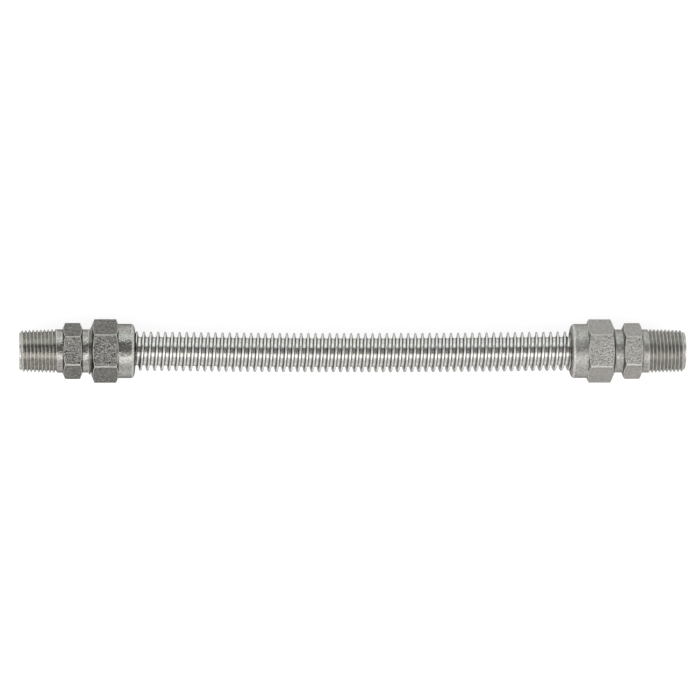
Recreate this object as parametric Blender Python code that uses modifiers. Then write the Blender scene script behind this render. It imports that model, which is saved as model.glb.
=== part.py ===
"""A flexible gas appliance connector: a corrugated stainless steel tube with a pipe adapter on each end.

Each end of the tube is flared. A flare nut behind the flare screws onto a pipe adapter and clamps the
flare against the adapter's cone. The adapter's far end is a tapered pipe thread.

The connector lies along X on two flats of its nuts, centred on the origin. The fittings and the tube are
made about Z, where z is the distance from the middle of the connector, and are then turned onto X.
"""

import math

import bmesh
import bpy
from mathutils import Matrix

MM = 0.001
INCH = 0.0254

# Corrugated tube
TUBE_FREE_LENGTH = 212.0 * MM  # between the collars of the two nuts
TUBE_WALL = 0.3 * MM
CREST_DIAMETER = 19.2 * MM
ROOT_DIAMETER = 13.8 * MM
CORRUGATION_PITCH = 3.479 * MM
CREST_WIDTH = 0.85 * MM  # flat stretch at the top of each corrugation
ROOT_WIDTH = 1.25 * MM  # flat stretch at the bottom between two corrugations
FIRST_CREST = 0.8 * MM  # from the left collar to the first crest, on the +Y side
CORRUGATION_OVERRUN = 0.1 * MM  # by which the corrugation reaches into the mouth of each collar
CORRUGATION_FADE = 0.9 * MM  # over which the corrugation grows out of the plain cuff
TUBE_BOW = 0.85 * MM  # how far the middle of the corrugated length lies off the axis, towards -Y
CUFF_DIAMETER = 5 / 8 * INCH
FLARE_DIAMETER = 20.6 * MM

# Flare nut
NUT_ACROSS_FLATS = 17 / 16 * INCH
NUT_HEX_LENGTH = 13.0 * MM
COLLAR_LENGTH = 8.15 * MM
COLLAR_DIAMETER = 26.4 * MM
RIM_BEVEL_WIDTH = 3.6 * MM  # of the shallow cone round the collar's end, measured across the rim
RIM_BEVEL_LENGTH = 1.1 * MM  # of the same cone, measured along the axis
TUBE_MOUTH_CHAMFER = 0.9 * MM
THREAD_MOUTH_CHAMFER = 0.2 * MM
FLARE_SEAT_DEPTH = 12.85 * MM  # from the nut's open face to the start of the tube's flare

# Pipe adapter
ADAPTER_ACROSS_FLATS = 15 / 16 * INCH
ADAPTER_HEX_LENGTH = 9.7 * MM
NUT_TO_ADAPTER_HEX = 4.35 * MM  # what shows of the adapter between its hexagon and the nut
FLARE_THREAD_DIAMETER = 22.8 * MM  # pitch diameter of the straight thread, made here as a plain cylinder
FLARE_NECK_DIAMETER = 21.1 * MM
FLARE_NECK_LENGTH = 2.6 * MM
ADAPTER_BORE = 1 / 2 * INCH
NOSE_LIP = 0.6 * MM  # width of the flat ring round the bore at the small end of the flare cone
BORE_CHAMFER = 0.5 * MM
PIPE_NECK_DIAMETER = 21.1 * MM
PIPE_NECK_LENGTH = 2.6 * MM

# Tapered pipe thread
PIPE_THREAD_LENGTH = 18.4 * MM
PIPE_THREAD_DIAMETER = 0.840 * INCH  # over the crests at its large end
PIPE_THREADS_PER_INCH = 14
PIPE_THREAD_DEPTH = 1.35 * MM
PIPE_TAPER = 1 / 16  # loss of diameter for each unit of length
PIPE_TIP_DIAMETER = 17.5 * MM  # of the flat end face, inside the chamfer
LEAD_TURNS = 2  # turns made before the thread's base and cut off there

# Fits and chamfers
CLEARANCE = 0.3 * MM
HEX_FACE_SHARE = 0.9  # diameter of the flat ring on a hexagon's end, as a share of its size across flats
SHOULDER_FACE_SHARE = 0.98  # the same on the nut's collar side
HEX_CHAMFER_ANGLE = math.radians(22)

# How finely round shapes are divided
ROUND_SIDES = 24
TUBE_SIDES = 12

# Distances from the middle of the connector
COLLAR_FACE = TUBE_FREE_LENGTH / 2
NUT_SHOULDER = COLLAR_FACE + COLLAR_LENGTH
NUT_FACE = NUT_SHOULDER + NUT_HEX_LENGTH
ADAPTER_HEX_INNER = NUT_FACE + NUT_TO_ADAPTER_HEX
ADAPTER_HEX_OUTER = ADAPTER_HEX_INNER + ADAPTER_HEX_LENGTH
PIPE_THREAD_BASE = ADAPTER_HEX_OUTER + PIPE_NECK_LENGTH
PIPE_TIP = PIPE_THREAD_BASE + PIPE_THREAD_LENGTH
FLARE_START = NUT_FACE - FLARE_SEAT_DEPTH
CORRUGATION_END = COLLAR_FACE + CORRUGATION_OVERRUN

AXIS_HEIGHT = NUT_ACROSS_FLATS / 2
PIPE_PITCH = INCH / PIPE_THREADS_PER_INCH
TOOL_MARGIN = 1.0 * MM  # by which a cutter passes the material that it cuts
JOIN_DEPTH = 0.3 * MM  # by which a neck reaches into the thread that it is joined to
WELD_DISTANCE = 0.000001


def clear_scene():
    for obj in list(bpy.data.objects):
        bpy.data.objects.remove(obj, do_unlink=True)


def make_collection(name):
    collection = bpy.data.collections.new(name)
    bpy.context.scene.collection.children.link(collection)
    return collection


def make_material(name, colour, roughness):
    material = bpy.data.materials.new(name)
    material.use_nodes = True
    shader = material.node_tree.nodes["Principled BSDF"]
    shader.inputs["Base Color"].default_value = (*colour, 1.0)
    shader.inputs["Metallic"].default_value = 1.0
    shader.inputs["Roughness"].default_value = roughness
    material.diffuse_color = (*colour, 1.0)
    return material


def place(name, mesh, collection):
    obj = bpy.data.objects.new(name, mesh)
    collection.objects.link(obj)
    return obj


def line_mesh(name, points):
    """An open line through (radius, z) points, in the half plane at +X."""
    mesh = bpy.data.meshes.new(name)
    edges = [(i, i + 1) for i in range(len(points) - 1)]
    mesh.from_pydata([(radius, 0.0, z) for radius, z in points], edges, [])
    return mesh


def add_screw(obj, sides, turn=math.tau, rise=0.0):
    screw = obj.modifiers.new("screw", "SCREW")
    screw.axis = "Z"
    screw.angle = turn
    screw.screw_offset = rise
    screw.steps = sides
    screw.render_steps = sides
    screw.use_merge_vertices = rise == 0.0
    screw.merge_threshold = WELD_DISTANCE


def evaluated_mesh(obj):
    """The object's mesh with its modifiers applied."""
    graph = bpy.context.evaluated_depsgraph_get()
    return bpy.data.meshes.new_from_object(obj.evaluated_get(graph))


def turned(name, outline, tools):
    """A solid of revolution from (radius, z) points, given from its top down its side to its bottom."""
    top, bottom = outline[0][1], outline[-1][1]
    obj = place(name, line_mesh(name, [(0.0, top), *outline, (0.0, bottom)]), tools)
    add_screw(obj, ROUND_SIDES)
    return obj


def combine(obj, other, operation):
    boolean = obj.modifiers.new(other.name, "BOOLEAN")
    boolean.operation = operation
    boolean.object = other
    other.hide_render = True
    other.display_type = "WIRE"


def finished_mesh(obj, name):
    """What the object's modifiers make of it, as a smooth mesh with sharp edges where it has corners."""
    mesh = evaluated_mesh(obj)
    mesh.name = name
    mesh.shade_smooth()
    mesh.set_sharp_from_angle(angle=math.radians(35))
    return mesh


def helical_surface(name, outline, pitch, sides, turn, tools):
    """An open helical skin: a long (radius, z) outline goes round once and rises by one pitch."""
    obj = place(name, line_mesh(name, outline), tools)
    add_screw(obj, sides, turn=turn, rise=pitch)
    mesh = evaluated_mesh(obj)
    bpy.data.objects.remove(obj)
    surface = bmesh.new()
    surface.from_mesh(mesh)
    bmesh.ops.remove_doubles(surface, verts=surface.verts, dist=WELD_DISTANCE)
    return surface


def trim(surface, low, high):
    """Cuts the skin square to Z at both heights."""
    for height, direction in ((low, -1.0), (high, 1.0)):
        bmesh.ops.bisect_plane(
            surface,
            geom=[*surface.verts, *surface.edges, *surface.faces],
            plane_co=(0.0, 0.0, height),
            plane_no=(0.0, 0.0, direction),
            clear_outer=True,
        )


def set_radius(vertex, radius):
    scale = radius / math.hypot(vertex.co.x, vertex.co.y)
    vertex.co.x *= scale
    vertex.co.y *= scale


def face_outwards(surface):
    """Turns the skin's faces away from the Z axis."""
    bmesh.ops.recalc_face_normals(surface, faces=surface.faces)
    face = max(surface.faces, key=lambda f: math.hypot(*f.calc_center_median().xy))
    if face.normal.xy.dot(face.calc_center_median().xy) < 0:
        bmesh.ops.reverse_faces(surface, faces=surface.faces)


def chamfered_hexagon(name, across_flats, low, high, low_face, high_face, tools):
    """A hexagonal bar with flats on +X and -X, its ends turned to a cone down to the given face radii."""
    corner = across_flats / math.sqrt(3)
    bar = bmesh.new()
    bmesh.ops.create_cone(
        bar,
        cap_ends=True,
        segments=6,
        radius1=corner,
        radius2=corner,
        depth=high - low,
        matrix=Matrix.Translation((0.0, 0.0, (low + high) / 2)),
    )
    mesh = bpy.data.meshes.new(name)
    bar.to_mesh(mesh)
    bar.free()
    hexagon = place(name, mesh, tools)
    outer = corner + TOOL_MARGIN
    slope = math.tan(HEX_CHAMFER_ANGLE)
    blank = turned(
        name + "_blank",
        [
            (high_face - TOOL_MARGIN, high + TOOL_MARGIN * slope),
            (outer, high - (outer - high_face) * slope),
            (outer, low + (outer - low_face) * slope),
            (low_face - TOOL_MARGIN, low - TOOL_MARGIN * slope),
        ],
        tools,
    )
    combine(hexagon, blank, "INTERSECT")
    return hexagon


def flare_height(radius, offset):
    """The z at which a 45 degree cone that lies this far outside the tube's flare has the given radius."""
    return FLARE_START + radius - CUFF_DIAMETER / 2 - offset * math.sqrt(2)


def pipe_thread_outline():
    """Points of the thread before it is tapered: a root and a crest in each pitch."""
    crest = PIPE_THREAD_DIAMETER / 2
    root = crest - PIPE_THREAD_DEPTH
    start = PIPE_THREAD_BASE - LEAD_TURNS * PIPE_PITCH
    turns = math.ceil((PIPE_TIP - start) / PIPE_PITCH) + 1
    points = []
    for turn in range(turns):
        z = start + turn * PIPE_PITCH
        points.append((root, z))
        points.append((crest, z + PIPE_PITCH / 2))
    return points


def pipe_thread(tools):
    """The tapered male thread as a solid rod, with its tip chamfered."""
    surface = helical_surface(
        "pipe_thread", pipe_thread_outline(), PIPE_PITCH, ROUND_SIDES, math.tau, tools
    )
    trim(surface, PIPE_THREAD_BASE, PIPE_TIP)
    for vertex in surface.verts:
        shrink = (vertex.co.z - PIPE_THREAD_BASE) * PIPE_TAPER / 2
        set_radius(vertex, math.hypot(vertex.co.x, vertex.co.y) - shrink)
    bmesh.ops.holes_fill(surface, edges=[e for e in surface.edges if e.is_boundary])
    bmesh.ops.recalc_face_normals(surface, faces=surface.faces)
    mesh = bpy.data.meshes.new("pipe_thread")
    surface.to_mesh(mesh)
    surface.free()
    rod = place("pipe_thread", mesh, tools)
    wide = PIPE_THREAD_DIAMETER / 2 + TOOL_MARGIN
    tip = PIPE_TIP_DIAMETER / 2
    blank = turned(
        "pipe_thread_blank",
        [
            (tip - TOOL_MARGIN, PIPE_TIP + TOOL_MARGIN),
            (wide, PIPE_TIP - (wide - tip)),
            (wide, PIPE_THREAD_BASE - TOOL_MARGIN),
        ],
        tools,
    )
    combine(rod, blank, "INTERSECT")
    return rod


def adapter_mesh(tools):
    """Pipe thread, neck, hexagon, neck, straight thread and flare cone in one piece, bored through."""
    thread = FLARE_THREAD_DIAMETER / 2
    flare_neck = FLARE_NECK_DIAMETER / 2
    neck_inner = ADAPTER_HEX_INNER - FLARE_NECK_LENGTH
    seat_offset = -TUBE_WALL - CLEARANCE
    nose = ADAPTER_BORE / 2 + NOSE_LIP
    body = turned(
        "adapter_body",
        [
            (PIPE_NECK_DIAMETER / 2, PIPE_THREAD_BASE + JOIN_DEPTH),
            (PIPE_NECK_DIAMETER / 2, ADAPTER_HEX_INNER + TOOL_MARGIN),
            (flare_neck, ADAPTER_HEX_INNER + TOOL_MARGIN),
            (flare_neck, neck_inner),
            (thread, neck_inner - (thread - flare_neck)),
            (thread, flare_height(thread, seat_offset)),
            (nose, flare_height(nose, seat_offset)),
        ],
        tools,
    )
    face = HEX_FACE_SHARE * ADAPTER_ACROSS_FLATS / 2
    hexagon = chamfered_hexagon(
        "adapter_hexagon",
        ADAPTER_ACROSS_FLATS,
        ADAPTER_HEX_INNER,
        ADAPTER_HEX_OUTER,
        face,
        face,
        tools,
    )
    bore = ADAPTER_BORE / 2
    nose_face = flare_height(nose, seat_offset)
    passage = turned(
        "adapter_bore",
        [
            (bore + BORE_CHAMFER + TOOL_MARGIN, PIPE_TIP + TOOL_MARGIN),
            (bore, PIPE_TIP - BORE_CHAMFER),
            (bore, nose_face - TOOL_MARGIN),
        ],
        tools,
    )
    combine(body, hexagon, "UNION")
    combine(body, pipe_thread(tools), "UNION")
    combine(body, passage, "DIFFERENCE")
    return finished_mesh(body, "pipe_adapter")


def nut_mesh(tools):
    """Hexagon and round collar in one piece, bored for the thread, the flare and the tube."""
    collar = COLLAR_DIAMETER / 2
    hexagon = chamfered_hexagon(
        "nut_hexagon",
        NUT_ACROSS_FLATS,
        NUT_SHOULDER,
        NUT_FACE,
        SHOULDER_FACE_SHARE * NUT_ACROSS_FLATS / 2,
        HEX_FACE_SHARE * NUT_ACROSS_FLATS / 2,
        tools,
    )
    ring = turned(
        "nut_collar",
        [
            (collar, NUT_SHOULDER + TOOL_MARGIN),
            (collar, COLLAR_FACE + RIM_BEVEL_LENGTH),
            (collar - RIM_BEVEL_WIDTH, COLLAR_FACE),
        ],
        tools,
    )
    thread = FLARE_THREAD_DIAMETER / 2 + CLEARANCE
    tube = CUFF_DIAMETER / 2 + CLEARANCE
    bore = turned(
        "nut_bore",
        [
            (thread + THREAD_MOUTH_CHAMFER + TOOL_MARGIN, NUT_FACE + TOOL_MARGIN),
            (thread, NUT_FACE - THREAD_MOUTH_CHAMFER),
            (thread, flare_height(thread, CLEARANCE)),
            (tube, flare_height(tube, CLEARANCE)),
            (tube, COLLAR_FACE + TUBE_MOUTH_CHAMFER),
            (tube + TUBE_MOUTH_CHAMFER + TOOL_MARGIN, COLLAR_FACE - TOOL_MARGIN),
        ],
        tools,
    )
    combine(hexagon, ring, "UNION")
    combine(hexagon, bore, "DIFFERENCE")
    return finished_mesh(hexagon, "flare_nut")


def corrugation_outline():
    """Points of the tube's skin where it is corrugated: in each pitch a flat root and a flat crest."""
    flank = (CORRUGATION_PITCH - CREST_WIDTH - ROOT_WIDTH) / 2
    root, crest = ROOT_DIAMETER / 2, CREST_DIAMETER / 2
    # The crest line has risen by three quarters of a pitch when it has gone round to the +Y side.
    crest_centre = -COLLAR_FACE + FIRST_CREST - 0.75 * CORRUGATION_PITCH
    first = crest_centre - CREST_WIDTH / 2 - flank - ROOT_WIDTH - CORRUGATION_PITCH
    turns = math.ceil((CORRUGATION_END - first) / CORRUGATION_PITCH)
    points = []
    for turn in range(turns):
        z = first + turn * CORRUGATION_PITCH
        points.append((root, z))
        points.append((root, z + ROOT_WIDTH))
        points.append((crest, z + ROOT_WIDTH + flank))
        points.append((crest, z + ROOT_WIDTH + flank + CREST_WIDTH))
    return points


def end_corrugation(surface):
    """Shrinks the corrugation to the cuff near each end, and gathers what lies past it in one ring."""
    cuff = CUFF_DIAMETER / 2
    for vertex in surface.verts:
        left = max(0.0, CORRUGATION_END - abs(vertex.co.z))
        share = min(1.0, left / CORRUGATION_FADE)
        radius = math.hypot(vertex.co.x, vertex.co.y)
        set_radius(vertex, cuff + (radius - cuff) * share)
        vertex.co.z = math.copysign(CORRUGATION_END - left, vertex.co.z)
    bmesh.ops.remove_doubles(surface, verts=surface.verts, dist=WELD_DISTANCE)


def bow_sideways(surface):
    """Lays the corrugated length along a shallow arc, as a tube that bends by hand comes to lie."""
    for vertex in surface.verts:
        off_middle = min(1.0, abs(vertex.co.z) / CORRUGATION_END)
        vertex.co.y -= TUBE_BOW * (1.0 - off_middle**2)


def grow_cuff_and_flare(surface, side):
    """Lengthens one end of the skin along the plain cuff and out along the 45 degree flare."""
    rim = [e for e in surface.edges if e.is_boundary and e.verts[0].co.z * side > 0]
    flare = FLARE_DIAMETER / 2
    for radius, z in ((CUFF_DIAMETER / 2, FLARE_START), (flare, flare_height(flare, 0.0))):
        made = bmesh.ops.extrude_edge_only(surface, edges=rim)["geom"]
        rim = [item for item in made if isinstance(item, bmesh.types.BMEdge)]
        for vertex in (item for item in made if isinstance(item, bmesh.types.BMVert)):
            set_radius(vertex, radius)
            vertex.co.z = side * z


def tube_mesh(tools):
    """The tube's outer skin, corrugated in one left-hand helix, thickened inwards to its wall."""
    surface = helical_surface(
        "tube_skin", corrugation_outline(), CORRUGATION_PITCH, TUBE_SIDES, -math.tau, tools
    )
    end_corrugation(surface)
    grow_cuff_and_flare(surface, -1)
    grow_cuff_and_flare(surface, 1)
    face_outwards(surface)
    bow_sideways(surface)
    mesh = bpy.data.meshes.new("tube_skin")
    surface.to_mesh(mesh)
    surface.free()
    skin = place("tube_skin", mesh, tools)
    wall = skin.modifiers.new("wall", "SOLIDIFY")
    wall.thickness = TUBE_WALL
    wall.offset = -1.0
    wall.use_even_offset = True
    return finished_mesh(skin, "corrugated_tube")


def lay_along_x(obj, side):
    """Turns a piece made about Z onto X, towards +X or -X, at the height at which the nuts' flats rest."""
    obj.rotation_euler = (0.0, side * math.pi / 2, 0.0)
    obj.location = (0.0, 0.0, AXIS_HEIGHT)


def build():
    clear_scene()
    parts = make_collection("gas_appliance_connector")
    tools = make_collection("tools")
    zinc = make_material("zinc_plated_steel", (0.56, 0.55, 0.52), 0.38)
    stainless = make_material("stainless_steel", (0.74, 0.73, 0.70), 0.24)

    tube = tube_mesh(tools)
    adapter = adapter_mesh(tools)
    nut = nut_mesh(tools)
    pieces = [
        ("corrugated_tube", tube, stainless, 1),
        ("right_pipe_adapter", adapter, zinc, 1),
        ("left_pipe_adapter", adapter, zinc, -1),
        ("right_flare_nut", nut, zinc, 1),
        ("left_flare_nut", nut, zinc, -1),
    ]
    for name, mesh, material, side in pieces:
        mesh.materials.clear()
        mesh.materials.append(material)
        lay_along_x(place(name, mesh, parts), side)

    for obj in list(tools.objects):
        bpy.data.objects.remove(obj)


build()
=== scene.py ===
"""The gas appliance connector as it looks: a bright corrugated tube between two dull plated fittings.

Each of the five pieces is modelled finely here, in the place of its solid. A fitting is made about the X
axis at the right end, and the left one is turned about Z, so that its threads stay right-hand.
"""

import math

import bmesh
import bpy
from mathutils import Matrix, Vector


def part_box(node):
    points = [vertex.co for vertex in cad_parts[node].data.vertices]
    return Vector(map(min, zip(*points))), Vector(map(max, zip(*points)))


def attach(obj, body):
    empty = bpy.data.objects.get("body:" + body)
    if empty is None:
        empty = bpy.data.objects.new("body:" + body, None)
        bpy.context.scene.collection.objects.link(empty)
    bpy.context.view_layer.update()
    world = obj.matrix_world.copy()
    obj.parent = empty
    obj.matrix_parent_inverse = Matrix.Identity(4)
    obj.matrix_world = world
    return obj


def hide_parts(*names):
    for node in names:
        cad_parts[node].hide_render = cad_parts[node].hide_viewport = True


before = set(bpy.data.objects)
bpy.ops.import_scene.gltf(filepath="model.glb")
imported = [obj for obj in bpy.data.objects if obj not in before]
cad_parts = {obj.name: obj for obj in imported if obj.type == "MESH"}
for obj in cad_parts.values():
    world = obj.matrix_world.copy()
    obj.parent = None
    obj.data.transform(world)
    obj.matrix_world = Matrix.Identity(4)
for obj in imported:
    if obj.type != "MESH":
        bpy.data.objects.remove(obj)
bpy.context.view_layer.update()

MM = 0.001
INCH = 0.0254

# Places and sizes taken from the frame. Distances along X are from the middle of the connector.
nut_low, nut_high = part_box("right_flare_nut")
adapter_low, adapter_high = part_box("right_pipe_adapter")
tube_low, tube_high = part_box("corrugated_tube")
AXIS_HEIGHT = (nut_low.z + nut_high.z) / 2
COLLAR_FACE = nut_low.x
NUT_FACE = nut_high.x
NUT_FLAT = (nut_high.z - nut_low.z) / 2
NOSE_FACE = adapter_low.x
PIPE_TIP = adapter_high.x
ADAPTER_FLAT = (adapter_high.z - adapter_low.z) / 2
FLARE_END = tube_high.x
FLARE_RADIUS = (tube_high.z - tube_low.z) / 2

# Flare nut
COLLAR_LENGTH = 8.15 * MM
COLLAR_RADIUS = 13.2 * MM
RIM_WIDTH = 3.6 * MM  # of the rounded rim, measured along the radius
RIM_LENGTH = 1.9 * MM
RIM_STEPS = 6
NUT_SHOULDER = COLLAR_FACE + COLLAR_LENGTH
TUBE_HOLE_RADIUS = 8.24 * MM
TUBE_MOUTH_CHAMFER = 0.9 * MM
THREAD_HOLE_RADIUS = 11.7 * MM
THREAD_MOUTH_CHAMFER = 0.45 * MM
FLARE_SEAT = 114.67 * MM  # where the 45 degree seat starts to widen from the tube's hole

# Pipe adapter
PIPE_THREAD_LENGTH = 18.4 * MM
PIPE_NECK_LENGTH = 2.6 * MM
PIPE_NECK_RADIUS = 10.55 * MM
ADAPTER_HEX_LENGTH = 9.7 * MM
LEFT_FLARE_NECK_LENGTH = 2.6 * MM
RIGHT_FLARE_NECK_LENGTH = 3.4 * MM
FLARE_NECK_RADIUS = 10.5 * MM
PIPE_THREAD_BASE = PIPE_TIP - PIPE_THREAD_LENGTH
ADAPTER_HEX_OUTER = PIPE_THREAD_BASE - PIPE_NECK_LENGTH
ADAPTER_HEX_INNER = ADAPTER_HEX_OUTER - ADAPTER_HEX_LENGTH
BORE_RADIUS = 6.35 * MM
BORE_CHAMFER = 0.5 * MM
NOSE_LIP = 0.6 * MM
CONE_END = NOSE_FACE + FLARE_NECK_RADIUS - BORE_RADIUS - NOSE_LIP

# Threads
PIPE_THREADS_PER_INCH = 14
PIPE_PITCH = INCH / PIPE_THREADS_PER_INCH
PIPE_THREAD_RADIUS = 10.67 * MM
PIPE_THREAD_DEPTH = 1.15 * MM
PIPE_TAPER = 1 / 32  # loss of radius for each unit of length
PIPE_TIP_RADIUS = 8.7 * MM
PIPE_RUNOUT = 0.6 * MM
PIPE_THREAD_TURN = 0.4  # share of a pitch by which the thread is turned on towards the tip
FLARE_THREADS_PER_INCH = 16
FLARE_PITCH = INCH / FLARE_THREADS_PER_INCH
FLARE_THREAD_RADIUS = 11.6 * MM
FLARE_THREAD_DEPTH = 1.1 * MM
FLARE_THREAD_END_SLOPE = 1.9  # rise for each unit of length, where the thread meets the neck
# Points of one pitch, each as a share of the pitch and a share of the depth
THREAD_WAVE = ((-0.07, 0.0), (0.07, 0.0), (0.41, 1.0), (0.59, 1.0))

# Corrugated tube
CREST_RADIUS = 9.6 * MM
ROOT_RADIUS = 6.9 * MM
CORRUGATION_PITCH = 3.479 * MM
CREST_ROUNDING = 0.5 * MM
ROOT_ROUNDING = 0.7 * MM
CREST_FLAT = 0.05 * MM
ROOT_FLAT = 0.48 * MM
FIRST_CREST = 0.8 * MM  # from the left collar to the first crest on the +Y side
CORRUGATION_OVERRUN = 0.1 * MM
CORRUGATION_FADE = 0.4 * MM
CORRUGATION_END = COLLAR_FACE + CORRUGATION_OVERRUN
TUBE_BOW = 0.85 * MM  # of the corrugated length's middle towards -Y
CUFF_RADIUS = 5 / 16 * INCH
TUBE_WALL = 0.3 * MM
ARC_POINTS = 3  # in each of the four rounded corners of one corrugation

# Hexagons, edges and skins
HEX_CHAMFER_ANGLE = math.radians(22)
HEX_FACE_SHARE = 0.9  # radius of a hexagon's end face, as a share of half its width across flats
SHOULDER_FACE_SHARE = 0.96
EDGE_ROUNDING = 0.3 * MM
HEX_CORNER_ROUNDING = 0.7 * MM
EDGE_STEPS = 2
SHARP_ANGLE = math.radians(14)
FITTING_COLUMNS = 96
TUBE_COLUMNS = 60
WELD_DISTANCE = 0.002 * MM
RIGHT_HAND = 1
LEFT_HAND = -1

# Material slots of a fitting
TURNED = 0
FLATS = 1
THREADED = 2
# lighter edge finish: partly rubbed wear, partly painted highlight
WEAR_AND_HIGHLIGHT = 3

# Rows of faces, counted from the first point of the nut's and the adapter's outlines
HEX_FLAT_ROW = 3
PAINTED_HIGHLIGHT_RIM_ROWS = (7, 8)  # where the collar's side turns into its rounded rim, painted lighter there as a highlight arc

# Metals
LEFT_ZINC = (0.34, 0.33, 0.31)
RIGHT_ZINC = (0.365, 0.353, 0.333)
LEFT_HEXAGON = dict(
    colour=(0.224, 0.217, 0.204),
    rough=0.145,
    grain_size=1.4 * MM,
    grain_height=0.9 * MM,
    patches=0.34,
)
RIGHT_HEXAGON = dict(
    colour=(0.385, 0.37, 0.35),
    rough=0.31,
    grain_size=1.0 * MM,
    grain_height=0.5 * MM,
    patches=0.2,
)
WARM_STEEL = (0.67, 0.645, 0.595)
BLUE_STEEL = (0.62, 0.625, 0.635)
ZINC_EDGE_SHINE = 0.3
THREAD_EDGE_SHINE = 0.55
STEEL_EDGE_SHINE = 0.36

# Lights and floor
WHITE_LIGHT = (1.0, 1.0, 1.0)
COOL_LIGHT = (0.92, 1.0, 0.99)
GREENISH_LIGHT = (0.98, 1.0, 0.98)
WORLD_COLOUR = (0.26, 0.255, 0.255)
FLOOR_COLOUR = (0.38, 0.38, 0.38)
FLOOR_GLOW = 0.75
FLOOR_SIZE = 6.0

# Picture
PICTURE_PIXELS = 700
MIDDLE_PIXEL = (352.9, 351.0)  # where the connector's middle lies in the picture, from its top left corner
VIEW_WIDTH = 340.8 * MM  # what the picture spans at the connector
VIEW_DISTANCE = 2.82
VIEW_SWING = math.radians(3.3)  # by which the camera leans over towards the left end
SENSOR_WIDTH = 36.0


def smooth_step(value):
    share = min(1.0, max(0.0, value))
    return share * share * (3 - 2 * share)


def point_round_x(x, radius, angle):
    """A point at this angle round the X axis, counted from +Y towards +Z."""
    return x, radius * math.cos(angle), radius * math.sin(angle)


def join_columns(mesh, column, following, shift, material_of):
    """Faces between two columns of points. Each row meets the one that lies shift rows further on."""
    last = len(column) - 1
    rows = [min(last, max(0, row + shift)) for row in range(last + 1)]
    for row in range(last):
        corners = [column[row], column[row + 1], following[rows[row + 1]], following[rows[row]]]
        distinct = list(dict.fromkeys(corners))
        if len(distinct) > 2:
            face = mesh.faces.new(distinct)
            face.material_index = material_of(row)
            face.smooth = True


def add_skin(mesh, outline_at, material_of=lambda row: TURNED, columns=FITTING_COLUMNS):
    """A skin round the X axis. outline_at gives its (x, radius) points at an angle, always as many."""
    made = []
    for step in range(columns):
        angle = math.tau * step / columns
        made.append([mesh.verts.new(point_round_x(x, radius, angle)) for x, radius in outline_at(angle)])
    for step in range(columns):
        join_columns(mesh, made[step], made[(step + 1) % columns], 0, material_of)


def add_helix(mesh, wave, radius_at, pitch, hand, origin, start, end, columns, slot=TURNED):
    """A helical skin between two flat rings. wave gives (distance along X, level) points of one pitch.

    radius_at gives the radius for an x and a level, and gives one radius for all levels at start and at end.
    """
    first_turn = math.floor((start - origin) / pitch) - 2
    last_turn = math.ceil((end - origin) / pitch) + 2
    made = []
    for step in range(columns):
        angle = math.tau * step / columns
        column = []
        for turn in range(first_turn, last_turn):
            for offset, level in wave:
                x = origin + (turn + hand * step / columns) * pitch + offset
                x = min(end, max(start, x))
                column.append(mesh.verts.new(point_round_x(x, radius_at(x, level), angle)))
        made.append(column)
    for step in range(columns - 1):
        join_columns(mesh, made[step], made[step + 1], 0, lambda row: slot)
    join_columns(mesh, made[-1], made[0], hand * len(wave), lambda row: slot)


def weld(mesh):
    bmesh.ops.remove_doubles(mesh, verts=mesh.verts, dist=WELD_DISTANCE)
    bmesh.ops.dissolve_degenerate(mesh, edges=mesh.edges, dist=WELD_DISTANCE / 10)
    bmesh.ops.recalc_face_normals(mesh, faces=mesh.faces)


def bevel(mesh, edges, width, slot):
    """Rounds these edges, in the finish of this slot."""
    bmesh.ops.bevel(
        mesh,
        geom=edges,
        offset=width,
        offset_type="WIDTH",
        segments=EDGE_STEPS,
        profile=0.5,
        affect="EDGES",
        clamp_overlap=True,
        material=slot,
    )


def is_sharp(edge):
    return len(edge.link_faces) == 2 and edge.calc_face_angle() > SHARP_ANGLE


def faces_beside(edge, slot):
    """How many of the faces beside this edge have the finish of this slot."""
    return sum(face.material_index == slot for face in edge.link_faces)


def round_edges(mesh):
    """Rounds every sharp edge. The hexagon's take a lighter finish, partly rubbed wear and partly a painted
    highlight, and its long corners are rounded most.
    """
    bmesh.ops.remove_doubles(mesh, verts=mesh.verts, dist=WELD_DISTANCE)
    bmesh.ops.recalc_face_normals(mesh, faces=mesh.faces)
    for beside, count, width, slot in (
        (FLATS, 2, HEX_CORNER_ROUNDING, WEAR_AND_HIGHLIGHT),
        (TURNED, 1, EDGE_ROUNDING, WEAR_AND_HIGHLIGHT),
        (TURNED, 2, EDGE_ROUNDING, TURNED),
    ):
        edges = [edge for edge in mesh.edges if is_sharp(edge) and faces_beside(edge, beside) == count]
        bevel(mesh, edges, width, slot)
    for face in mesh.faces:
        face.smooth = True


def hexagon_outline(angle, flat, outer, inner, outer_share, inner_share):
    """Four points down a hexagon's side from its outer face to its inner face, with its chamfers between."""
    radius = flat / math.cos(angle % (math.pi / 3) - math.pi / 6)
    slope = math.tan(HEX_CHAMFER_ANGLE)
    outer_radius, inner_radius = outer_share * flat, inner_share * flat
    return [
        (outer, outer_radius),
        (outer - (radius - outer_radius) * slope, radius),
        (inner + (radius - inner_radius) * slope, radius),
        (inner, inner_radius),
    ]


def object_from(name, mesh, materials):
    data = bpy.data.meshes.new(name)
    mesh.to_mesh(data)
    mesh.free()
    for material in materials:
        data.materials.append(material)
    piece = bpy.data.objects.new(name, data)
    bpy.context.scene.collection.objects.link(piece)
    normals = piece.modifiers.new("even_shading", "WEIGHTED_NORMAL")
    normals.keep_sharp = True
    return piece


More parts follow.
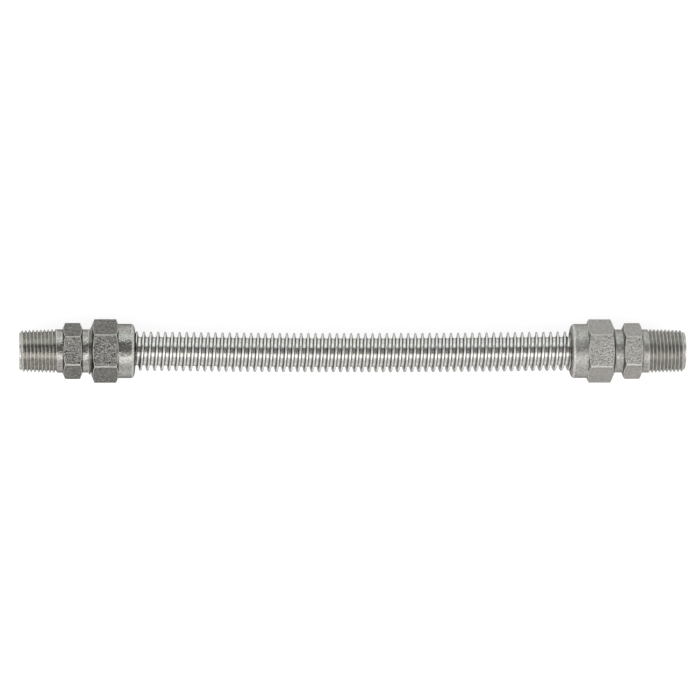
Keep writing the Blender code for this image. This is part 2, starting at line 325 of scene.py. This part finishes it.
def nut_mesh():
    """Hexagon, round collar and stepped hole, as one closed skin."""
    seat_top = FLARE_SEAT + THREAD_HOLE_RADIUS - TUBE_HOLE_RADIUS
    hole_mouth = TUBE_HOLE_RADIUS + TUBE_MOUTH_CHAMFER
    turns = [math.pi / 2 * step / RIM_STEPS for step in range(RIM_STEPS + 1)]
    rim = [
        (COLLAR_FACE + RIM_LENGTH * (1 - math.sin(turn)), COLLAR_RADIUS - RIM_WIDTH * (1 - math.cos(turn)))
        for turn in turns
    ]

    def outline(angle):
        points = [
            (NUT_FACE - THREAD_MOUTH_CHAMFER, THREAD_HOLE_RADIUS),
            (NUT_FACE, THREAD_HOLE_RADIUS + THREAD_MOUTH_CHAMFER),
            *hexagon_outline(angle, NUT_FLAT, NUT_FACE, NUT_SHOULDER, HEX_FACE_SHARE, SHOULDER_FACE_SHARE),
            (NUT_SHOULDER, COLLAR_RADIUS),
            *rim,
            (COLLAR_FACE, hole_mouth),
            (COLLAR_FACE + TUBE_MOUTH_CHAMFER, TUBE_HOLE_RADIUS),
            (FLARE_SEAT, TUBE_HOLE_RADIUS),
            (seat_top, THREAD_HOLE_RADIUS),
        ]
        return [*points, points[0]]

    finishes = {HEX_FLAT_ROW: FLATS, **dict.fromkeys(PAINTED_HIGHLIGHT_RIM_ROWS, WEAR_AND_HIGHLIGHT)}
    mesh = bmesh.new()
    add_skin(mesh, outline, lambda row: finishes.get(row, TURNED))
    round_edges(mesh)
    weld(mesh)
    return mesh


def pipe_thread_radius(x, level):
    """Tapered thread that runs out into the neck at its base and is chamfered at its tip."""
    crest = PIPE_THREAD_RADIUS - (x - PIPE_THREAD_BASE) * PIPE_TAPER
    radius = crest - PIPE_THREAD_DEPTH * (1 - level)
    share = smooth_step((x - PIPE_THREAD_BASE) / PIPE_RUNOUT)
    radius = PIPE_NECK_RADIUS + (radius - PIPE_NECK_RADIUS) * share
    return min(radius, PIPE_TIP_RADIUS + PIPE_TIP - x)


def flare_thread_radius(x, level, neck_end):
    """Straight thread that slopes down to the neck at its outer end and to the cone at its inner end."""
    radius = FLARE_THREAD_RADIUS - FLARE_THREAD_DEPTH * (1 - level)
    at_neck = FLARE_NECK_RADIUS + (neck_end - x) * FLARE_THREAD_END_SLOPE
    at_cone = FLARE_NECK_RADIUS + x - CONE_END
    return min(radius, at_neck, at_cone)


def adapter_mesh(neck_length):
    """Pipe thread, necks, hexagon, flare thread, cone and bore, as one closed skin."""
    neck_end = ADAPTER_HEX_INNER - neck_length
    mesh = bmesh.new()
    add_skin(
        mesh,
        lambda angle: [
            (PIPE_THREAD_BASE, PIPE_NECK_RADIUS),
            (ADAPTER_HEX_OUTER, PIPE_NECK_RADIUS),
            *hexagon_outline(
                angle, ADAPTER_FLAT, ADAPTER_HEX_OUTER, ADAPTER_HEX_INNER, HEX_FACE_SHARE, HEX_FACE_SHARE
            ),
            (ADAPTER_HEX_INNER, FLARE_NECK_RADIUS),
            (neck_end, FLARE_NECK_RADIUS),
        ],
        lambda row: FLATS if row == HEX_FLAT_ROW else TURNED,
    )
    add_skin(
        mesh,
        lambda angle: [
            (CONE_END, FLARE_NECK_RADIUS),
            (NOSE_FACE, BORE_RADIUS + NOSE_LIP),
            (NOSE_FACE, BORE_RADIUS),
            (PIPE_TIP - BORE_CHAMFER, BORE_RADIUS),
            (PIPE_TIP, BORE_RADIUS + BORE_CHAMFER),
            (PIPE_TIP, PIPE_TIP_RADIUS),
        ],
    )
    round_edges(mesh)
    add_helix(
        mesh,
        [(share * PIPE_PITCH, level) for share, level in THREAD_WAVE],
        pipe_thread_radius,
        PIPE_PITCH,
        RIGHT_HAND,
        PIPE_THREAD_BASE + PIPE_THREAD_TURN * PIPE_PITCH,
        PIPE_THREAD_BASE,
        PIPE_TIP,
        FITTING_COLUMNS,
        THREADED,
    )
    add_helix(
        mesh,
        [(share * FLARE_PITCH, level) for share, level in THREAD_WAVE],
        lambda x, level: flare_thread_radius(x, level, neck_end),
        FLARE_PITCH,
        RIGHT_HAND,
        neck_end,
        CONE_END,
        neck_end,
        FITTING_COLUMNS,
        THREADED,
    )
    weld(mesh)
    return mesh


def corrugation_wave():
    """Points of one pitch: a crest and a root with round corners, joined by straight flanks."""
    middle = CORRUGATION_PITCH / 2
    across = middle - (CREST_FLAT + ROOT_FLAT) / 2
    down = CREST_RADIUS - ROOT_RADIUS - CREST_ROUNDING - ROOT_ROUNDING
    lean = math.atan2(across, down) - math.asin((CREST_ROUNDING + ROOT_ROUNDING) / math.hypot(across, down))
    reach = math.pi / 2 - lean
    points = []
    for centre, flat, radius, rounding, outwards in (
        (0.0, CREST_FLAT, CREST_RADIUS, CREST_ROUNDING, 1),
        (middle, ROOT_FLAT, ROOT_RADIUS, ROOT_ROUNDING, -1),
    ):
        for side in (-1, 1):
            turns = [side * reach * i / (ARC_POINTS - 1) for i in range(ARC_POINTS)]
            for turn in sorted(turns):
                x = centre + side * flat / 2 + rounding * math.sin(turn)
                points.append((x, radius - outwards * rounding * (1 - math.cos(turn))))
    return points


def corrugation_radius(x, level):
    """The wave's own radius, drawn in to the cuff's near each end."""
    share = smooth_step((CORRUGATION_END - abs(x)) / CORRUGATION_FADE)
    return CUFF_RADIUS + (level - CUFF_RADIUS) * share


def tube_mesh():
    """Outer skin of the tube: a left-hand helical corrugation between two plain cuffs with flares."""
    mesh = bmesh.new()
    flare_start = FLARE_END - (FLARE_RADIUS - CUFF_RADIUS)
    add_helix(
        mesh,
        corrugation_wave(),
        corrugation_radius,
        CORRUGATION_PITCH,
        LEFT_HAND,
        FIRST_CREST - COLLAR_FACE,
        -CORRUGATION_END,
        CORRUGATION_END,
        TUBE_COLUMNS,
    )
    for side in (-1, 1):
        add_skin(
            mesh,
            lambda angle: [
                (side * CORRUGATION_END, CUFF_RADIUS),
                (side * flare_start, CUFF_RADIUS),
                (side * FLARE_END, FLARE_RADIUS),
            ],
            columns=TUBE_COLUMNS,
        )
    weld(mesh)
    widest = max(mesh.faces, key=lambda f: f.calc_center_median().yz.length)
    if widest.normal.yz.dot(widest.calc_center_median().yz) < 0:
        bmesh.ops.reverse_faces(mesh, faces=mesh.faces)
    for vertex in mesh.verts:
        off_middle = min(1.0, abs(vertex.co.x) / CORRUGATION_END)
        vertex.co.y -= TUBE_BOW * (1.0 - off_middle**2)
    return mesh


class Surface:
    """A metal with colour, roughness and relief from nodes. edge_shine tints it where seen edge on."""

    def __init__(self, name, edge_shine):
        self.material = bpy.data.materials.new(name)
        self.material.use_nodes = True
        self.nodes = self.material.node_tree.nodes
        self.shader = self.nodes["Principled BSDF"]
        self.shader.inputs["Metallic"].default_value = 1.0
        self.shader.inputs["Specular Tint"].default_value = (edge_shine, edge_shine, edge_shine, 1.0)
        self.place = self.nodes.new("ShaderNodeTexCoord").outputs["Object"]
        self.relief = None

    def link(self, source, target):
        self.material.node_tree.links.new(source, target)

    def noise(self, size, detail=2.0, stretch=(1.0, 1.0, 1.0), distortion=0.0):
        """Cloudy values about 0.5, in spots of about this size, longer along an axis by its stretch."""
        mapping = self.nodes.new("ShaderNodeMapping")
        mapping.inputs["Scale"].default_value = [1 / (size * factor) for factor in stretch]
        texture = self.nodes.new("ShaderNodeTexNoise")
        texture.inputs["Scale"].default_value = 1.0
        texture.inputs["Detail"].default_value = detail
        texture.inputs["Distortion"].default_value = distortion
        self.link(self.place, mapping.inputs["Vector"])
        self.link(mapping.outputs["Vector"], texture.inputs["Vector"])
        return texture.outputs["Fac"]

    def spread(self, value, low, high):
        """Stretches cloudy values so that they run from low to high."""
        node = self.nodes.new("ShaderNodeMapRange")
        node.inputs["From Min"].default_value = 0.3
        node.inputs["From Max"].default_value = 0.7
        node.inputs["To Min"].default_value = low
        node.inputs["To Max"].default_value = high
        self.link(value, node.inputs["Value"])
        return node.outputs["Result"]

    def colours(self, value, first, second):
        """Base colour that runs from the first colour to the second."""
        node = self.nodes.new("ShaderNodeMix")
        node.data_type = "RGBA"
        node.inputs["A"].default_value = (*first, 1.0)
        node.inputs["B"].default_value = (*second, 1.0)
        self.link(self.spread(value, 0.0, 1.0), node.inputs["Factor"])
        self.link(node.outputs["Result"], self.shader.inputs["Base Color"])

    def roughness(self, value, low, high):
        self.link(self.spread(value, low, high), self.shader.inputs["Roughness"])

    def raise_by(self, value, height):
        """Relief of this height between values of 0 and 1, on top of what was there."""
        node = self.nodes.new("ShaderNodeBump")
        node.inputs["Distance"].default_value = height
        self.link(value, node.inputs["Height"])
        if self.relief:
            self.link(self.relief, node.inputs["Normal"])
        self.relief = node.outputs["Normal"]
        self.link(self.relief, self.shader.inputs["Normal"])


def shade(colour, factor):
    return [channel * factor for channel in colour]


def turned_zinc(name, colour, rough, dent_height):
    """Plated steel with fine lines round it from the lathe, and slight dents."""
    surface = Surface(name, ZINC_EDGE_SHINE)
    dents = surface.noise(1.7 * MM, 3.0, distortion=0.6)
    surface.colours(surface.noise(0.9 * MM, 1.0), shade(colour, 0.75), shade(colour, 1.25))
    surface.roughness(surface.noise(1.5 * MM, 3.0), rough * 0.7, rough * 1.5)
    surface.raise_by(surface.noise(0.25 * MM, 2.0, (1.0, 40.0, 40.0)), 0.004 * MM)
    surface.raise_by(dents, dent_height)
    surface.raise_by(surface.noise(0.7 * MM, 2.0), 0.08 * MM)
    return surface.material


def hexagon_zinc(name, colour, rough, grain_size, grain_height, patches):
    """Plated bar stock with a pitted grain, in patches lighter and darker than the colour by a share."""
    surface = Surface(name, ZINC_EDGE_SHINE)
    grain = surface.noise(grain_size, 1.0, distortion=1.2)
    spots = surface.noise(grain_size * 0.7, 1.0, distortion=1.0)
    surface.colours(spots, shade(colour, 1 - patches), shade(colour, 1 + patches))
    surface.roughness(surface.noise(1.0 * MM, 3.0), rough * 0.8, rough * 1.3)
    surface.raise_by(grain, grain_height)
    return surface.material


def wear_and_highlight_zinc(name, colour):
    """Edges painted lighter than the plating beside them, partly as rubbed wear and partly as a painted
    highlight.
    """
    surface = Surface(name, ZINC_EDGE_SHINE)
    surface.colours(surface.noise(1.2 * MM, 3.0), shade(colour, 1.2), shade(colour, 1.75))
    surface.roughness(surface.noise(0.8 * MM, 2.0), 0.4, 0.6)
    surface.raise_by(surface.noise(0.6 * MM, 2.0), 0.05 * MM)
    return surface.material


def threaded_zinc(name, colour, rough):
    """Plated threads, a little lighter than the turned faces."""
    surface = Surface(name, THREAD_EDGE_SHINE)
    surface.colours(surface.noise(1.8 * MM, 3.0), shade(colour, 1.05), shade(colour, 1.4))
    surface.roughness(surface.noise(1.2 * MM, 3.0), rough * 0.8, rough * 1.4)
    surface.raise_by(surface.noise(0.3 * MM, 2.0, (1.0, 12.0, 12.0)), 0.004 * MM)
    surface.raise_by(surface.noise(1.0 * MM, 2.0), 0.03 * MM)
    return surface.material


def stainless(name):
    """Bright rolled tube with faint warm and blue patches."""
    surface = Surface(name, STEEL_EDGE_SHINE)
    surface.colours(surface.noise(3.0 * MM, 3.0), WARM_STEEL, BLUE_STEEL)
    surface.roughness(surface.noise(1.5 * MM, 3.0), 0.12, 0.26)
    surface.raise_by(surface.noise(1.2 * MM, 2.0), 0.02 * MM)
    return surface.material


def dress(piece, node):
    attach(piece, "root")
    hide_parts(node)


def place_fitting(piece, side):
    """Lays a fitting on the axis at the right end, or turned about Z at the left end."""
    turn = 0.0 if side > 0 else math.pi
    piece.data.transform(Matrix.Translation((0.0, 0.0, AXIS_HEIGHT)) @ Matrix.Rotation(turn, 4, "Z"))


def build_fitting(word, side, neck_length, colour, rough, thread_shade, dent_height, hexagon):
    """Nut and adapter of one end, which share their four finishes."""
    finishes = [
        turned_zinc(word + "_turned_zinc", shade(colour, 1.05), rough, dent_height),
        hexagon_zinc(word + "_hexagon_zinc", **hexagon),
        threaded_zinc(word + "_threaded_zinc", shade(colour, thread_shade), rough / 2 + 0.12),
        wear_and_highlight_zinc(word + "_wear_and_highlight_zinc", colour),
    ]
    nut = object_from(word + "_nut", nut_mesh(), finishes)
    place_fitting(nut, side)
    dress(nut, word + "_flare_nut")
    adapter = object_from(word + "_adapter", adapter_mesh(neck_length), finishes)
    place_fitting(adapter, side)
    dress(adapter, word + "_pipe_adapter")


def build_tube():
    tube = object_from("tube", tube_mesh(), [stainless("stainless")])
    tube.data.transform(Matrix.Translation((0.0, 0.0, AXIS_HEIGHT)))
    wall = tube.modifiers.new("wall", "SOLIDIFY")
    wall.thickness = TUBE_WALL
    wall.offset = -1.0
    wall.use_even_offset = True
    dress(tube, "corrugated_tube")


def build_connector():
    build_fitting(
        "left",
        side=-1,
        neck_length=LEFT_FLARE_NECK_LENGTH,
        colour=LEFT_ZINC,
        rough=0.17,
        thread_shade=1.1,
        dent_height=0.25 * MM,
        hexagon=LEFT_HEXAGON,
    )
    build_fitting(
        "right",
        side=1,
        neck_length=RIGHT_FLARE_NECK_LENGTH,
        colour=RIGHT_ZINC,
        rough=0.42,
        thread_shade=1.0,
        dent_height=0.12 * MM,
        hexagon=RIGHT_HEXAGON,
    )
    build_tube()


def add_panel(name, size_x, size_y, level, colour, location, rotation):
    """A flat soft light, whose brightness where it is seen follows its level and not its size."""
    light = bpy.data.lights.new(name, "AREA")
    light.shape = "RECTANGLE"
    light.size = size_x
    light.size_y = size_y
    light.energy = level * math.pi * size_x * size_y
    light.color = colour
    lamp = bpy.data.objects.new(name, light)
    bpy.context.scene.collection.objects.link(lamp)
    lamp.location = location
    lamp.rotation_euler = rotation


def middle_and_height(low, high, distance):
    """Middle angle of a light that spans two angles in degrees, and its height when it is this far away."""
    half_span = math.radians(high - low) / 2
    return math.radians((low + high) / 2), 2 * distance * math.tan(half_span)


def add_long_light(name, low, high, level, colour=WHITE_LIGHT, length=6.0, distance=0.9):
    """A light along the connector, which spans these angles from straight up towards +Y."""
    angle, height = middle_and_height(low, high, distance)
    location = (0.0, distance * math.sin(angle), AXIS_HEIGHT + distance * math.cos(angle))
    add_panel(name, length, height, level, colour, location, (-angle, 0.0, 0.0))


def add_end_light(side, low, high, level, width=2.0, distance=3.5):
    """A light past one end of the connector, which spans these angles above the horizon."""
    angle, height = middle_and_height(low, high, distance)
    location = (side * distance * math.cos(angle), 0.0, AXIS_HEIGHT + distance * math.sin(angle))
    rotation = (0.0, side * (math.pi / 2 - angle), 0.0)
    add_panel("end_light", height, width, level, WHITE_LIGHT, location, rotation)


def add_lights():
    add_long_light("softbox", 43, 86, 1.15, COOL_LIGHT)
    add_long_light("strip", -40, -26, 0.9)
    add_long_light("fill", -47, -11, 1.25, GREENISH_LIGHT)
    add_long_light("low_fill", -87, -47, 0.75)
    add_end_light(-1, 18, 62, 1.3)
    add_end_light(1, 2, 45, 1.3)
    world = bpy.data.worlds.new("studio")
    world.use_nodes = True
    world.node_tree.nodes["Background"].inputs["Color"].default_value = (*WORLD_COLOUR, 1.0)
    bpy.context.scene.world = world


def floor_material():
    """Pale grey that also glows where it is seen, straight or in the metal, so that it shows white."""
    material = bpy.data.materials.new("floor")
    material.use_nodes = True
    nodes, links = material.node_tree.nodes, material.node_tree.links
    shader = nodes["Principled BSDF"]
    shader.inputs["Base Color"].default_value = (*FLOOR_COLOUR, 1.0)
    shader.inputs["Roughness"].default_value = 1.0
    shader.inputs["Specular IOR Level"].default_value = 0.0
    shader.inputs["Emission Color"].default_value = (1.0, 1.0, 1.0, 1.0)
    path = nodes.new("ShaderNodeLightPath")
    seen = path.outputs["Is Camera Ray"]
    for ray in ("Is Glossy Ray", "Is Transmission Ray"):
        either = nodes.new("ShaderNodeMath")
        either.operation = "MAXIMUM"
        links.new(seen, either.inputs[0])
        links.new(path.outputs[ray], either.inputs[1])
        seen = either.outputs[0]
    glow = nodes.new("ShaderNodeMath")
    glow.operation = "MULTIPLY"
    glow.inputs[1].default_value = FLOOR_GLOW
    links.new(seen, glow.inputs[0])
    links.new(glow.outputs[0], shader.inputs["Emission Strength"])
    return material


def add_floor():
    bpy.ops.mesh.primitive_plane_add(size=FLOOR_SIZE, location=(0.0, 0.0, 0.0))
    floor = bpy.context.object
    floor.name = "floor"
    floor.data.materials.append(floor_material())


def add_camera():
    """A long lens over the connector, leaning a little towards its left end."""
    scene = bpy.context.scene
    lens = bpy.data.cameras.new("camera")
    lens.sensor_width = SENSOR_WIDTH
    lens.lens = SENSOR_WIDTH * VIEW_DISTANCE / VIEW_WIDTH
    lens.clip_end = 20.0
    camera = bpy.data.objects.new("camera", lens)
    scene.collection.objects.link(camera)
    scale = VIEW_WIDTH / PICTURE_PIXELS
    right = Vector((math.cos(VIEW_SWING), 0.0, math.sin(VIEW_SWING)))
    back = Vector((-math.sin(VIEW_SWING), 0.0, math.cos(VIEW_SWING)))
    middle = Vector((0.0, 0.0, AXIS_HEIGHT))
    aside = right * (PICTURE_PIXELS / 2 - MIDDLE_PIXEL[0]) * scale
    above = Vector((0.0, 1.0, 0.0)) * (MIDDLE_PIXEL[1] - PICTURE_PIXELS / 2) * scale
    camera.location = middle + back * VIEW_DISTANCE + aside + above
    camera.rotation_euler = (0.0, -VIEW_SWING, 0.0)
    scene.camera = camera


add_camera()
add_floor()
add_lights()
build_connector()
bpy.context.scene.view_settings.view_transform = "Standard"
